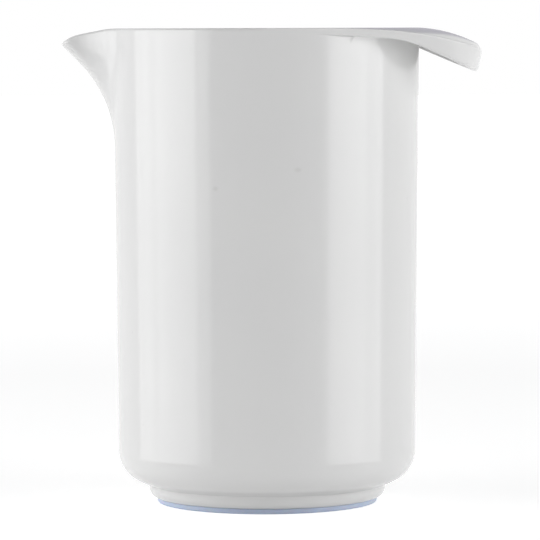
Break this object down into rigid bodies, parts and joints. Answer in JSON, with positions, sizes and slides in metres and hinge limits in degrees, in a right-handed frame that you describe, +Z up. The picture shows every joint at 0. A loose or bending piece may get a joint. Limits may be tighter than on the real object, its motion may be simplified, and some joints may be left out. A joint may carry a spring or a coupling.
{
  "type": "mixing jug",
  "caption": "Tall round-bottomed mixing jug with a pinched pouring beak, a hollow brim grip opposite it and a non-slip ring under its foot.",
  "frame": {"origin": "on the jug's axis, in the plane that the jug stands on", "axes": "+Z up along the jug's axis, -X towards the pouring beak, +X towards the brim grip, +Y across"},
  "size_m": [0.1481, 0.108, 0.1675],
  "materials": {
    "jug": "satin",
    "ring": "matte"
  },
  "bodies": {
    "root": {"jug": "jug", "non_slip_ring": "ring"}
  },
  "joints": []
}
